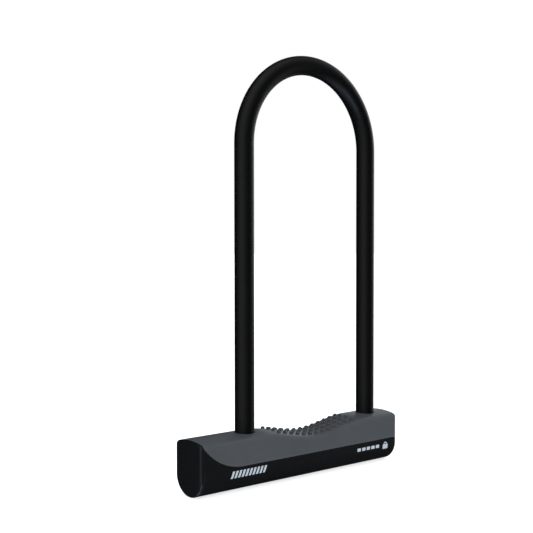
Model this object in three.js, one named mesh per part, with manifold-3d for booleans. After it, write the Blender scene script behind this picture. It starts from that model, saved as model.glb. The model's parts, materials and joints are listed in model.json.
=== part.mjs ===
// A bicycle U-lock: a bent steel shackle in a vinyl sleeve, and a crossbar that holds its two feet.
// The key turns a cylinder in the long end of the crossbar. Its drum has two helical grooves, and they
// push a sliding plate along the bar, whose keyhole slots close around the necks of both feet.
// Millimetres. Z points up the legs, X runs along the crossbar with the keyed end at -X, and the
// origin is on the middle of the crossbar's underside. The lock is shown closed and not yet locked.
import * as THREE from "three";
import { mergeVertices } from "three/addons/utils/BufferGeometryUtils.js";
import Module from "manifold-3d";

const wasm = await Module();
wasm.setup();

// ---- driving dimensions ----

const GAP = 0.3; // between fixed neighbours

const BAR = {
  halfLength: 95,
  halfDepth: 15.05,
  height: 38.8,
  bottomRise: 14.6, // the half-round underside reaches up this far
  crown: 1.2,
  cornerRadius: 3,
  endFillet: 2.4,
  wall: 2.25,
};
const BAR_LEFT = -BAR.halfLength;
const BAR_RIGHT = BAR.halfLength;
const EDGE_Y = BAR.halfDepth - BAR.cornerRadius;

const LEG = {
  left: -46.1,
  right: 74.6,
  rodRadius: 6,
  footZ: 8,
  footChamfer: 1.5,
  coatRadius: 7.02,
  coatBore: 6.35,
  coatEndZ: 30.2,
};
const ARCH_STEPS = 20;
const ARCH_RADIUS = (LEG.right - LEG.left) / 2;
const MIDDLE_X = (LEG.left + LEG.right) / 2;
const OVERALL_HEIGHT = 310;
const SPRING_Z = OVERALL_HEIGHT - ARCH_RADIUS - LEG.coatRadius;

const DIP = { centre: 12.5, halfLength: 51, depth: 6.8 }; // the finger hollow between the legs
const BUMPS = {
  columns: 13,
  rows: 4,
  pitch: 6.05,
  topRadius: 0.85,
  footRadius: 1.5,
  height: 1.75,
  root: 0.7, // how far each bump reaches into the cover
  sides: 6,
};

// Where the cover meets the lower housing: level at z, and swept up at the keyed end. The pulls are
// the curve's control points, as [x, z].
const SPLIT = { z: 18.7, sweepX: -57, cornerZ: 35.3, upperPull: [-84.6, 26], lowerPullX: -73.5 };
const END_COVER_THICKNESS = 2.4;
const SHELL_LEFT = BAR_LEFT + END_COVER_THICKNESS + GAP;

const AXIS_Z = 15.5; // the tube, the cylinder and the drum share this axis
const TUBE = { outer: 12.5, inner: 10, left: -88.3, right: BAR_RIGHT - BAR.wall - 0.45, footHole: 6.6 };
const FERRULE = {
  outer: 9.4,
  bore: 6.5,
  bottom: 22,
  top: 35.4,
  coatBore: 7.45,
  sealBore: 8.5,
  sealSeat: 32.8,
};
const SEAL = { outer: 8.2, bore: 7.27, bottom: 33.1, top: 35.6 };
const COVER_HOLE = 7.4; // for the sleeved legs
const GUIDE = { at: [-22, MIDDLE_X, 44], halfLength: 3.5 };
const SCREW = {
  at: [-5, 34],
  hole: 1.8,
  shank: 1.45,
  tip: 6,
  head: 2.85,
  headFace: 0.35,
  headBack: 1.8,
  recess: 3.2,
  recessEnd: 1.5,
  crossDepth: 0.6,
  crossHalfLength: 1.7,
  crossHalfWidth: 0.35,
};

const LOCK_TRAVEL = 6; // what a quarter turn of the key moves the plate
const QUARTER_TURN = Math.PI / 2;
const PLATE = {
  bottom: 14,
  top: 17,
  halfWidth: 9.3,
  waist: 6.5,
  waistEnds: [-36, 52],
  left: -57.5,
  right: 82.7,
  footHole: 6.5,
  slotLength: 13.5,
};
const ARM = { left: -70.2, overlap: 4, inner: 7.1, bottom: 13, top: 18, pinHole: 1.4 };
const FOLLOWER = { radius: 1.1, inner: 4.2, outer: 9.1 };
const NECK = { halfWidth: 3.8, bottom: 13.5, top: 17.5 }; // the flats on each foot
const DRUM = { left: -69.9, right: -58.8, radius: 6.7, hub: 2.8 };
const GROOVE = { floor: 3.9, width: 3.6, wall: 0.75, endAngle: 0.34 };
const PIN_X = DRUM.left + GROOVE.wall + GROOVE.width / 2;

const BULKHEAD = { thickness: 2, plugHole: 6.1, pivotHole: 2 };
const DRILL_GUARD = { thickness: 1.4, plugHole: 6 };
const PLUG = {
  front: -91.9,
  back: -74.1,
  radius: 5.6,
  bore: 4.3,
  boreFront: -90.4,
  boreBack: -75.6,
  stub: 2.5,
  stubEnd: -65.8,
};
const CYLINDER_BACK = -71.8;
const CIRCLIP = { left: -71.5, right: -70.7, outer: 4, inner: 2.2, groove: 1.9, opening: 1.2 };
const ROLL_PIN = { x: -80, y: 7.8, radius: 1.2, halfLength: 8.9 };
const DISC = { count: 8, first: -90.1, pitch: 1.82, thickness: 1.4, radius: 4 };
const KEYWAY = { halfWidth: 2.6, halfHeight: 1.1 };
// Heights over the key axis: the sidebar lies across the discs' notches and the plug's slot.
const SIDEBAR = { left: -89.2, right: -76.3, halfWidth: 0.8, low: 3.3, high: 5.2, room: 6.9 };

// The end cover swings about a pin above the keyway.
const PIVOT = { z: 32, radius: 1.6, socket: 1.9, socketDepth: 1.4, depth: 1.1, tail: 3.4 };
const PIVOT_CLIP = { left: 2.3, right: 2.9, outer: 3.2, inner: 1.35, groove: 1.1, opening: 0.9 };
const SLACK = 1; // how far a cutting solid runs past what it cuts

// ---- solids ----

// A closed three.js geometry as a solid that can be joined and cut.
function solidOf(geometry) {
  const bare = geometry.clone();
  bare.deleteAttribute("normal");
  bare.deleteAttribute("uv");
  const merged = mergeVertices(bare, 1e-4);
  const corners = merged.index.array;
  const triangles = [];
  for (let i = 0; i < corners.length; i += 3) {
    const [a, b, c] = corners.slice(i, i + 3);
    if (a !== b && b !== c && c !== a) triangles.push(a, b, c);
  }
  const vertProperties = new Float32Array(merged.attributes.position.array);
  const triVerts = new Uint32Array(triangles);
  return new wasm.Manifold(new wasm.Mesh({ numProp: 3, vertProperties, triVerts }));
}

function geometryOf(solid) {
  const { vertProperties, triVerts } = solid.getMesh();
  const geometry = new THREE.BufferGeometry();
  geometry.setAttribute("position", new THREE.BufferAttribute(vertProperties, 3));
  geometry.setIndex(new THREE.BufferAttribute(triVerts, 1));
  geometry.computeVertexNormals();
  return geometry;
}

function block([x0, x1], [y0, y1], [z0, z1]) {
  const geometry = new THREE.BoxGeometry(x1 - x0, y1 - y0, z1 - z0);
  geometry.translate((x0 + x1) / 2, (y0 + y1) / 2, (z0 + z1) / 2);
  return solidOf(geometry);
}

// Round bars along each axis. The bar along X is centred on the tube's axis unless z is given.
function roundX(radius, x0, x1, sides = 32, z = AXIS_Z) {
  const geometry = new THREE.CylinderGeometry(radius, radius, x1 - x0, sides);
  geometry.rotateZ(-Math.PI / 2);
  geometry.translate((x0 + x1) / 2, 0, z);
  return solidOf(geometry);
}

function roundY(radius, x, z, y0, y1, sides = 16) {
  const geometry = new THREE.CylinderGeometry(radius, radius, y1 - y0, sides);
  geometry.translate(x, (y0 + y1) / 2, z);
  return solidOf(geometry);
}

function roundZ(radius, x, y, z0, z1, sides = 24) {
  const geometry = new THREE.CylinderGeometry(radius, radius, z1 - z0, sides);
  geometry.rotateX(Math.PI / 2);
  geometry.translate(x, y, (z0 + z1) / 2);
  return solidOf(geometry);
}

// A solid of revolution about a vertical line, from [radius, height] pairs listed upwards.
function turnedZ(profile, x, sides = 20) {
  const points = profile.map(([radius, height]) => new THREE.Vector2(radius, height));
  const geometry = new THREE.LatheGeometry(points, sides);
  geometry.rotateX(Math.PI / 2);
  geometry.translate(x, 0, 0);
  return solidOf(geometry);
}

// A skin over rings of equal size, each one turning left about the way the rings advance.
function loft(rings) {
  const size = rings[0].length;
  const positions = rings.flat().flatMap((point) => point.toArray());
  const faces = [];
  for (let i = 0; i + 1 < rings.length; i++) {
    for (let j = 0; j < size; j++) {
      const k = (j + 1) % size;
      const [a, b] = [i * size + j, i * size + k];
      faces.push(a, b, b + size, a, b + size, a + size);
    }
  }
  const last = (rings.length - 1) * size;
  for (let j = 1; j + 1 < size; j++) {
    faces.push(0, j + 1, j);
    faces.push(last, last + j, last + j + 1);
  }
  const geometry = new THREE.BufferGeometry();
  geometry.setAttribute("position", new THREE.Float32BufferAttribute(positions, 3));
  geometry.setIndex(faces);
  return solidOf(geometry);
}

// ---- crossbar shape ----

function topHeight(x) {
  const reach = Math.min(Math.abs(x - DIP.centre) / DIP.halfLength, 1);
  return BAR.height - DIP.depth * Math.cos(reach * QUARTER_TURN) ** 2;
}

function surfaceHeight(x, y) {
  return topHeight(x) - BAR.crown * (y / EDGE_Y) ** 2;
}

// One cross-section of the bar, moved inwards by inset: half-round below, crowned on top.
function barRing(x, inset) {
  const side = BAR.halfDepth - inset;
  const rise = BAR.bottomRise - inset;
  const corner = BAR.cornerRadius - inset;
  const cornerZ = surfaceHeight(x, EDGE_Y) - BAR.cornerRadius;
  const half = [];
  for (let i = 0; i <= 8; i++) {
    const angle = (i / 8 - 1) * QUARTER_TURN;
    half.push([side * Math.cos(angle), BAR.bottomRise + rise * Math.sin(angle)]);
  }
  for (let i = 0; i <= 3; i++) {
    const angle = (i / 3) * QUARTER_TURN;
    half.push([EDGE_Y + corner * Math.cos(angle), cornerZ + corner * Math.sin(angle)]);
  }
  for (let i = 1; i <= 3; i++) {
    const y = EDGE_Y * (1 - i / 3);
    half.push([y, surfaceHeight(x, y) - inset]);
  }
  const mirrored = half.slice(1, -1).reverse().map(([y, z]) => [-y, z]);
  return [...half, ...mirrored].map(([y, z]) => new THREE.Vector3(x, y, z));
}

// Where the sections of the hollow lie. A bar lofted without them has a straight top.
function dipStations(steps = 14) {
  return Array.from({ length: steps + 1 }, (_, i) => DIP.centre + DIP.halfLength * ((2 * i) / steps - 1));
}

function barOutside(stations) {
  const rings = [];
  for (let i = 0; i <= 3; i++) {
    const angle = (i / 3) * QUARTER_TURN;
    const x = BAR_LEFT + BAR.endFillet * (1 - Math.cos(angle));
    rings.push(barRing(x, BAR.endFillet * (1 - Math.sin(angle))));
  }
  const left = rings.slice();
  for (const x of stations) rings.push(barRing(x, 0));
  for (const ring of left.reverse()) {
    const x = -ring[0].x;
    rings.push(ring.map((point) => new THREE.Vector3(x, point.y, point.z)));
  }
  return loft(rings);
}

// The room inside both shells. It is open at the keyed end, and always clears the tube.
function barCavity(stations) {
  const right = BAR_RIGHT - BAR.wall;
  const rings = [BAR_LEFT - SLACK, ...stations, right].map((x) => barRing(x, BAR.wall));
  return loft(rings).add(roundX(TUBE.outer + GAP, BAR_LEFT - SLACK, right, 32));
}

// Everything above the parting line, or everything below it, as a slab through the bar.
function splitRegion(above) {
  const shift = above ? GAP / 2 : -GAP / 2;
  const far = above ? BAR.height + 10 : -10;
  const outline = new THREE.Shape();
  const level = SPLIT.z + shift;
  const [pullX, pullZ] = SPLIT.upperPull;
  outline.moveTo(SHELL_LEFT, SPLIT.cornerZ + shift);
  outline.bezierCurveTo(pullX, pullZ + shift, SPLIT.lowerPullX, level, SPLIT.sweepX, level);
  outline.lineTo(BAR_RIGHT + 5, level);
  outline.lineTo(BAR_RIGHT + 5, far);
  outline.lineTo(SHELL_LEFT, far);
  outline.closePath();
  const depth = 2 * BAR.halfDepth + 10;
  const geometry = new THREE.ExtrudeGeometry(outline, { depth, bevelEnabled: false, curveSegments: 10 });
  geometry.rotateX(Math.PI / 2);
  geometry.translate(0, depth / 2, 0);
  return solidOf(geometry);
}

function gripBumps() {
  let bumps = null;
  for (let i = 0; i < BUMPS.columns; i++) {
    for (let j = 0; j < BUMPS.rows; j++) {
      const x = MIDDLE_X + (i - (BUMPS.columns - 1) / 2) * BUMPS.pitch;
      const y = (j - (BUMPS.rows - 1) / 2) * BUMPS.pitch;
      const length = BUMPS.height + BUMPS.root;
      const geometry = new THREE.CylinderGeometry(BUMPS.topRadius, BUMPS.footRadius, length, BUMPS.sides);
      geometry.rotateX(Math.PI / 2);
      geometry.translate(x, y, surfaceHeight(x, y) + BUMPS.height - length / 2);
      const bump = solidOf(geometry);
      bumps = bumps ? bumps.add(bump) : bump;
    }
  }
  return bumps;
}

function topCover() {
  const cavity = barCavity(dipStations());
  const shell = barOutside(dipStations()).intersect(splitRegion(true)).subtract(cavity);
  let cover = shell.add(gripBumps().subtract(cavity));
  for (const x of [LEG.left, LEG.right]) {
    cover = cover.subtract(roundZ(COVER_HOLE, x, 0, SPLIT.z, BAR.height + SLACK, 32));
  }
  return cover;
}

function lowerHousing() {
  let housing = barOutside([]).intersect(splitRegion(false)).subtract(barCavity([]));
  const { recess, recessEnd, hole } = SCREW;
  const profile = [[0, -0.5], [recess + 0.2, -0.5], [recess, 0], [hole, recessEnd], [hole, 4], [0, 4]];
  for (const x of SCREW.at) housing = housing.subtract(turnedZ(profile, x));
  return housing;
}

function housingScrew(x) {
  const { head, headFace, headBack, shank, tip } = SCREW;
  const long = [-SCREW.crossHalfLength, SCREW.crossHalfLength];
  const short = [-SCREW.crossHalfWidth, SCREW.crossHalfWidth];
  const depth = [0, headFace + SCREW.crossDepth];
  return turnedZ([[0, headFace], [head, headFace], [shank, headBack], [shank, tip], [0, tip]], x)
    .subtract(block([x + long[0], x + long[1]], short, depth))
    .subtract(block([x + short[0], x + short[1]], long, depth));
}

// ---- the steel tube and what is fixed in it ----

function crossbarTube() {
  let tube = roundX(TUBE.outer, TUBE.left, TUBE.right, 32);
  tube = tube.subtract(roundX(TUBE.inner, TUBE.left - SLACK, TUBE.right + SLACK, 32));
  for (const x of [LEG.left, LEG.right]) {
    tube = tube.subtract(roundZ(TUBE.footHole, x, 0, AXIS_Z, AXIS_Z + TUBE.outer + SLACK));
  }
  for (const x of SCREW.at) tube = tube.subtract(roundZ(SCREW.hole, x, 0, 0, AXIS_Z, 16));
  return tube.subtract(roundZ(ROLL_PIN.radius + GAP, ROLL_PIN.x, ROLL_PIN.y, 0, 2 * AXIS_Z, 16));
}

function tubeEndPlug() {
  return roundX(TUBE.inner - GAP, PLATE.right + LOCK_TRAVEL + 0.5, TUBE.right, 32);
}

// A saddle sleeve that carries the cover on the tube and guides one leg.
function legFerrule(x) {
  const { outer, bore, bottom, top } = FERRULE;
  const over = top + SLACK;
  return roundZ(outer, x, 0, bottom, top, 24)
    .subtract(roundX(TUBE.outer + GAP, x - outer - SLACK, x + outer + SLACK, 32))
    .subtract(roundZ(bore, x, 0, bottom - SLACK, over))
    .subtract(roundZ(FERRULE.coatBore, x, 0, LEG.coatEndZ - GAP, over))
    .subtract(roundZ(FERRULE.sealBore, x, 0, FERRULE.sealSeat, over));
}

function legSeal(x) {
  const { outer, bore, bottom, top } = SEAL;
  return roundZ(outer, x, 0, bottom, top, 28).subtract(roundZ(bore, x, 0, bottom - SLACK, top + SLACK, 28));
}

function plateGuide(x) {
  const half = GUIDE.halfLength;
  const slotY = PLATE.waist + GAP;
  return roundX(TUBE.inner - GAP, x - half, x + half, 28).subtract(
    block([x - half - SLACK, x + half + SLACK], [-slotY, slotY], [PLATE.bottom - GAP, PLATE.top + GAP]),
  );
}

// ---- keyed end ----

function endBulkhead() {
  const inset = BAR.wall + GAP;
  const [left, right] = [SHELL_LEFT, SHELL_LEFT + BULKHEAD.thickness];
  return loft([barRing(left, inset), barRing(right, inset)])
    .subtract(roundX(BULKHEAD.plugHole, left - SLACK, right + SLACK))
    .subtract(roundX(BULKHEAD.pivotHole, left - SLACK, right + SLACK, 20, PIVOT.z));
}

function drillGuard() {
  const left = SHELL_LEFT + BULKHEAD.thickness + GAP;
  const right = left + DRILL_GUARD.thickness;
  return roundX(TUBE.outer - GAP, left, right, 28)
    .subtract(roundX(DRILL_GUARD.plugHole, left - SLACK, right + SLACK));
}

// The room for the sidebar, from one height over the key axis to another.
function sidebarSlot(left, right, clearance, low, high) {
  const half = SIDEBAR.halfWidth + clearance;
  return block([left, right], [-half, half], [AXIS_Z + low, AXIS_Z + high]);
}

function cylinderHousing() {
  return roundX(TUBE.inner - GAP, TUBE.left, CYLINDER_BACK, 28)
    .subtract(roundX(PLUG.radius + GAP, TUBE.left - SLACK, PLUG.back + GAP))
    .subtract(roundX(PLUG.stub + 0.4, PLUG.back - SLACK, CYLINDER_BACK + SLACK, 24))
    .subtract(sidebarSlot(TUBE.left + 1.3, PLUG.back - 0.9, 0.2, PLUG.radius - SLACK, SIDEBAR.room))
    .subtract(roundZ(ROLL_PIN.radius + GAP, ROLL_PIN.x, ROLL_PIN.y, 0, 2 * AXIS_Z, 16));
}

function cylinderRollPin() {
  const { x, y, radius, halfLength } = ROLL_PIN;
  return roundZ(radius, x, y, AXIS_Z - halfLength, AXIS_Z + halfLength, 16);
}

function keyway(left, right) {
  const { halfWidth, halfHeight } = KEYWAY;
  return block([left, right], [-halfWidth, halfWidth], [AXIS_Z - halfHeight, AXIS_Z + halfHeight]);
}

function cylinderPlug() {
  const { front, back, radius, bore, boreFront, boreBack, stub, stubEnd } = PLUG;
  const grooveEnds = [CIRCLIP.left - 0.2, CIRCLIP.right + GAP];
  const groove = roundX(stub + SLACK, ...grooveEnds, 24).subtract(roundX(CIRCLIP.groove, ...grooveEnds, 24));
  return roundX(radius, front, back)
    .add(roundX(stub, back - 0.5, stubEnd, 24))
    .subtract(roundX(bore, boreFront, boreBack, 28))
    .subtract(keyway(front - SLACK, boreFront + 0.4))
    .subtract(sidebarSlot(SIDEBAR.left - GAP, SIDEBAR.right + GAP, GAP, bore - 0.5, radius + SLACK))
    .subtract(groove);
}

function lockDisc(index) {
  const left = DISC.first + index * DISC.pitch;
  const right = left + DISC.thickness;
  return roundX(DISC.radius, left, right, 24)
    .subtract(keyway(left - SLACK, right + SLACK))
    .subtract(sidebarSlot(left - SLACK, right + SLACK, GAP, SIDEBAR.low - GAP, DISC.radius + SLACK));
}

function sidebar() {
  return sidebarSlot(SIDEBAR.left, SIDEBAR.right, 0, SIDEBAR.low, SIDEBAR.high);
}

function plugCirclip() {
  const { left, right, outer, inner, opening } = CIRCLIP;
  const [before, after] = [left - SLACK, right + SLACK];
  return roundX(outer, left, right, 24)
    .subtract(roundX(inner, before, after, 24))
    .subtract(block([before, after], [-opening, opening], [AXIS_Z, AXIS_Z + outer + SLACK]));
}

// ---- drum and locking plate ----

// The slot that a follower sweeps in the turning drum. It climbs along X with a quarter turn and
// runs level for a short way past both ends.
function helicalSlot(side) {
  const steps = 10;
  const start = -QUARTER_TURN - GROOVE.endAngle;
  const end = GROOVE.endAngle;
  const half = GROOVE.width / 2;
  const rings = [];
  for (let i = 0; i <= steps; i++) {
    const angle = start + (i / steps) * (end - start);
    const turned = THREE.MathUtils.clamp(-angle, 0, QUARTER_TURN);
    const x = PIN_X + (LOCK_TRAVEL * turned) / QUARTER_TURN;
    const around = angle + (side > 0 ? 0 : Math.PI);
    const beyond = DRUM.radius + SLACK;
    const corners = [[GROOVE.floor, half], [beyond, half], [beyond, -half], [GROOVE.floor, -half]];
    rings.push(corners.map(([radius, along]) => {
      return new THREE.Vector3(x + along, radius * Math.cos(around), AXIS_Z + radius * Math.sin(around));
    }));
  }
  return loft(rings);
}

function driveDrum() {
  return roundX(DRUM.radius, DRUM.left, DRUM.right, 28)
    .subtract(roundX(DRUM.hub, DRUM.left - SLACK, PLUG.stubEnd + GAP, 24))
    .subtract(helicalSlot(1))
    .subtract(helicalSlot(-1));
}

// A span across the bar on one side of its middle, lowest first.
const sideSpan = (side, inner, outer) => (side > 0 ? [inner, outer] : [-outer, -inner]);

function lockPlate() {
  const { left, right, halfWidth, bottom, top, footHole, slotLength } = PLATE;
  const through = [bottom - SLACK, top + SLACK];
  const slotHalf = NECK.halfWidth + GAP;
  let plate = block([left, right], [-halfWidth, halfWidth], [bottom, top]);
  for (const x of [LEG.left, LEG.right]) {
    plate = plate
      .subtract(roundZ(footHole, x, 0, ...through, 32))
      .subtract(block([x - slotLength, x], [-slotHalf, slotHalf], through));
  }
  for (const side of [-1, 1]) {
    const beside = sideSpan(side, PLATE.waist, halfWidth + SLACK);
    const armY = sideSpan(side, ARM.inner, halfWidth);
    plate = plate
      .subtract(block(PLATE.waistEnds, beside, through))
      .add(block([ARM.left, left + ARM.overlap], armY, [ARM.bottom, ARM.top]))
      .subtract(roundY(ARM.pinHole, PIN_X, AXIS_Z, ...beside));
  }
  return plate;
}

function followerPin(side) {
  return roundY(FOLLOWER.radius, PIN_X, AXIS_Z, ...sideSpan(side, FOLLOWER.inner, FOLLOWER.outer));
}

// ---- shackle ----

// Rings of a round bar that goes up the left leg, over the arch and down the right leg.
function shackleRings(radius, legEnd, sides) {
  const across = new THREE.Vector3(0, 1, 0);
  const ring = (centre, tangent, ringRadius) => {
    const normal = new THREE.Vector3().crossVectors(across, tangent);
    return Array.from({ length: sides }, (_, j) => {
      const angle = ((j + 0.5) / sides) * 2 * Math.PI;
      return centre.clone()
        .addScaledVector(normal, ringRadius * Math.cos(angle))
        .addScaledVector(across, ringRadius * Math.sin(angle));
    });
  };
  const up = new THREE.Vector3(0, 0, 1);
  const down = new THREE.Vector3(0, 0, -1);
  const leftEnds = legEnd.map(([z, r]) => ring(new THREE.Vector3(LEG.left, 0, z), up, r));
  const rightEnds = legEnd.map(([z, r]) => ring(new THREE.Vector3(LEG.right, 0, z), down, r)).reverse();
  const arch = [];
  for (let i = 0; i <= ARCH_STEPS; i++) {
    const angle = Math.PI * (1 - i / ARCH_STEPS);
    const out = new THREE.Vector3(Math.cos(angle), 0, Math.sin(angle));
    const centre = new THREE.Vector3(MIDDLE_X, 0, SPRING_Z).addScaledVector(out, ARCH_RADIUS);
    arch.push(ring(centre, new THREE.Vector3().crossVectors(across, out), radius));
  }
  return [...leftEnds, ...arch, ...rightEnds];
}

function shackleRod() {
  const { footZ, footChamfer, rodRadius } = LEG;
  const foot = [[footZ, rodRadius - footChamfer], [footZ + footChamfer, rodRadius]];
  const reach = rodRadius + SLACK;
  let rod = loft(shackleRings(rodRadius, foot, 16));
  for (const x of [LEG.left, LEG.right]) {
    for (const side of [-1, 1]) {
      const beside = sideSpan(side, NECK.halfWidth, reach);
      rod = rod.subtract(block([x - reach, x + reach], beside, [NECK.bottom, NECK.top]));
    }
  }
  return rod;
}

function shackleCoating() {
  const { coatRadius, coatBore, coatEndZ } = LEG;
  const outer = loft(shackleRings(coatRadius, [[coatEndZ, coatRadius]], 16));
  return outer.subtract(loft(shackleRings(coatBore, [[coatEndZ - SLACK, coatBore]], 16)));
}

// ---- end cover ----

function endCover() {
  const inner = BAR_LEFT + END_COVER_THICKNESS;
  const across = [-BAR.halfDepth - SLACK, BAR.halfDepth + SLACK];
  const slab = block([BAR_LEFT - SLACK, inner], across, [-SLACK, BAR.height + SLACK]);
  const socket = roundX(PIVOT.socket, inner - PIVOT.socketDepth, inner + SLACK, 20, PIVOT.z);
  return barOutside([]).intersect(slab).subtract(socket);
}

// A ring about the pivot, between two radii.
function pivotRing(outer, inner, left, right) {
  return roundX(outer, left, right, 20, PIVOT.z)
    .subtract(roundX(inner, left - SLACK, right + SLACK, 20, PIVOT.z));
}

function pivotPin() {
  const left = BAR_LEFT + END_COVER_THICKNESS - PIVOT.depth;
  const grooveEnds = [SHELL_LEFT + PIVOT_CLIP.left - 0.1, SHELL_LEFT + PIVOT_CLIP.right + 0.1];
  return roundX(PIVOT.radius, left, SHELL_LEFT + PIVOT.tail, 20, PIVOT.z)
    .subtract(pivotRing(PIVOT.radius + SLACK, PIVOT_CLIP.groove, ...grooveEnds));
}

function pivotClip() {
  const { outer, inner, opening } = PIVOT_CLIP;
  const [left, right] = [SHELL_LEFT + PIVOT_CLIP.left, SHELL_LEFT + PIVOT_CLIP.right];
  return pivotRing(outer, inner, left, right)
    .subtract(block([left - SLACK, right + SLACK], [-opening, opening], [PIVOT.z, PIVOT.z + outer + SLACK]));
}

// ---- materials and assembly ----

function material(color, roughness, metalness) {
  return new THREE.MeshStandardMaterial({ color, roughness, metalness });
}

const greyRubber = material(0x4d5255, 0.62, 0);
const blackPlastic = material(0x151617, 0.45, 0);
const blackVinyl = material(0x111213, 0.5, 0);
const blackRubber = material(0x1b1b1c, 0.8, 0);
const nylon = material(0xd9d6cc, 0.55, 0);
const hardSteel = material(0x8f9296, 0.35, 1);
const zincSteel = material(0xb3b6ba, 0.3, 1);
const brass = material(0xb59a56, 0.35, 1);

const lock = new THREE.Group();

function place(name, solid, finish) {
  const mesh = new THREE.Mesh(geometryOf(solid), finish);
  mesh.name = name;
  lock.add(mesh);
}

place("lower_housing", lowerHousing(), blackPlastic);
place("top_cover", topCover(), greyRubber);
place("crossbar_tube", crossbarTube(), hardSteel);
place("tube_end_plug", tubeEndPlug(), hardSteel);
for (const [side, x] of [["left", LEG.left], ["right", LEG.right]]) {
  place(`leg_ferrule_${side}`, legFerrule(x), nylon);
  place(`leg_seal_${side}`, legSeal(x), blackRubber);
}
GUIDE.at.forEach((x, i) => place(`plate_guide_${i + 1}`, plateGuide(x), nylon));
SCREW.at.forEach((x, i) => place(`housing_screw_${i + 1}`, housingScrew(x), zincSteel));
place("end_bulkhead", endBulkhead(), blackPlastic);
place("drill_guard", drillGuard(), hardSteel);
place("cylinder_housing", cylinderHousing(), zincSteel);
place("cylinder_roll_pin", cylinderRollPin(), hardSteel);
place("cylinder_plug", cylinderPlug(), brass);
for (let i = 0; i < DISC.count; i++) place(`lock_disc_${i + 1}`, lockDisc(i), brass);
place("sidebar", sidebar(), hardSteel);
place("plug_circlip", plugCirclip(), hardSteel);
place("drive_drum", driveDrum(), zincSteel);
place("lock_plate", lockPlate(), zincSteel);
place("follower_pin_front", followerPin(-1), hardSteel);
place("follower_pin_rear", followerPin(1), hardSteel);
place("shackle_rod", shackleRod(), hardSteel);
place("shackle_coating", shackleCoating(), blackVinyl);
place("end_cover", endCover(), blackPlastic);
place("end_cover_pivot", pivotPin(), hardSteel);
place("pivot_clip", pivotClip(), hardSteel);

export default lock;
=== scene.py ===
import json
import math

import bmesh
import bpy
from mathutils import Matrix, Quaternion, Vector


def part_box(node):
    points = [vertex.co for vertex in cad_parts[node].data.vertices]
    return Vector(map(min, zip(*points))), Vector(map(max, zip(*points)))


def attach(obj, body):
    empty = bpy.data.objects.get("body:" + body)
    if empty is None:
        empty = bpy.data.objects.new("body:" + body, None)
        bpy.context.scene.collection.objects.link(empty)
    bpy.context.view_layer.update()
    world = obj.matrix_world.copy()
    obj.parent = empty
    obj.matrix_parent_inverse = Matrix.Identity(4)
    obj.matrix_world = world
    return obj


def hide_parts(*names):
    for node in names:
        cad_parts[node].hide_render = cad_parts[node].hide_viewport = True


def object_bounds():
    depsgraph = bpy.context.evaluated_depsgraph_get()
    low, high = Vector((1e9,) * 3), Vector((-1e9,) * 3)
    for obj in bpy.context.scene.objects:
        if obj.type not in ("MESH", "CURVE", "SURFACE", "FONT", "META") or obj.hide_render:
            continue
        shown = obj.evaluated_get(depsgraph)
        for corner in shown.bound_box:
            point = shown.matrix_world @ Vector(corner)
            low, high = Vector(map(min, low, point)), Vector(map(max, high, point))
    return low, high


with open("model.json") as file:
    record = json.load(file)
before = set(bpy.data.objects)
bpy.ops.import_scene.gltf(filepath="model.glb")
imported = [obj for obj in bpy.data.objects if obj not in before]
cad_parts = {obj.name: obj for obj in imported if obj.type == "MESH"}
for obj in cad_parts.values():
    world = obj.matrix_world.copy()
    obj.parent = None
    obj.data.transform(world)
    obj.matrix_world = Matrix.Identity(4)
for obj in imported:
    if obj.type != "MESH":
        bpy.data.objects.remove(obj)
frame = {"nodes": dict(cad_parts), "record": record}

# A bicycle U-lock on a pale floor. The CAD frame gives every place and size, in metres. The pieces
# below are the smooth visible surfaces that stand for the faceted CAD solids.

cad_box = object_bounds()
scene = bpy.context.scene
MM = 0.001

# ---- sizes read from the frame ----

BAR_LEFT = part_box("end_cover")[0].x
BAR_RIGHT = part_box("lower_housing")[1].x
BAR_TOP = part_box("end_cover")[1].z
HALF_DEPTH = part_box("end_cover")[1].y
SHELL_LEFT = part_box("lower_housing")[0].x
CAP_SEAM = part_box("end_cover")[1].x
SPLIT_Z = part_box("top_cover")[0].z - 0.15 * MM
SHACKLE_TOP = cad_box[1].z
LEGS = [sum(corner.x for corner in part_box(f"leg_seal_{side}")) / 2 for side in ("left", "right")]
MIDDLE_X = sum(LEGS) / 2
ARCH_RADIUS = (LEGS[1] - LEGS[0]) / 2
KEY_AXIS_Z = sum(corner.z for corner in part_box("drive_drum")) / 2
PIVOT_Z = sum(corner.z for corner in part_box("end_cover_pivot")) / 2

# ---- the crossbar's own shape ----

BOTTOM_RISE = 14.6 * MM  # the half-round underside reaches up this far
CROWN = 1.2 * MM
CORNER_RADIUS = 3 * MM
END_FILLET = 2.4 * MM
DIP_CENTRE = 12.5 * MM  # the shallow hollow along the cover's top
DIP_HALF_LENGTH = 51 * MM
DIP_DEPTH = 6.8 * MM
SPLIT_START = 35.3 * MM  # the parting line's height at the keyed end
SPLIT_LEVEL_X = -57 * MM  # and where it has come down to SPLIT_Z
SPLIT_PULL_DOWN = (-84.6 * MM, 26 * MM)  # its curve's two control points
SPLIT_PULL_X = -73.5 * MM
EDGE_Y = HALF_DEPTH - CORNER_RADIUS
CROWN_TILT = math.atan(2 * CROWN / EDGE_Y)
SEAM_HALF = 0.07 * MM  # half the visible gap between the two shells
LIP = 0.35 * MM  # rounding of each shell's edge
RIM = 1.7 * MM  # how far each edge turns inwards
INK = 0.015 * MM  # the housing's skin lies this far under its printed marks
STATION_STEP = 1.2 * MM

SLEEVE_RADIUS = 7.02 * MM
ROD_RADIUS = 6 * MM
SPRING_Z = SHACKLE_TOP - ARCH_RADIUS - SLEEVE_RADIUS


def spread(start, end, steps):
    """Evenly spaced numbers from start to end, with both of them."""
    return [start + (end - start) * i / steps for i in range(steps + 1)]


def quarter(steps):
    """Evenly spaced angles over a quarter turn."""
    return spread(0, math.pi / 2, steps)


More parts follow.
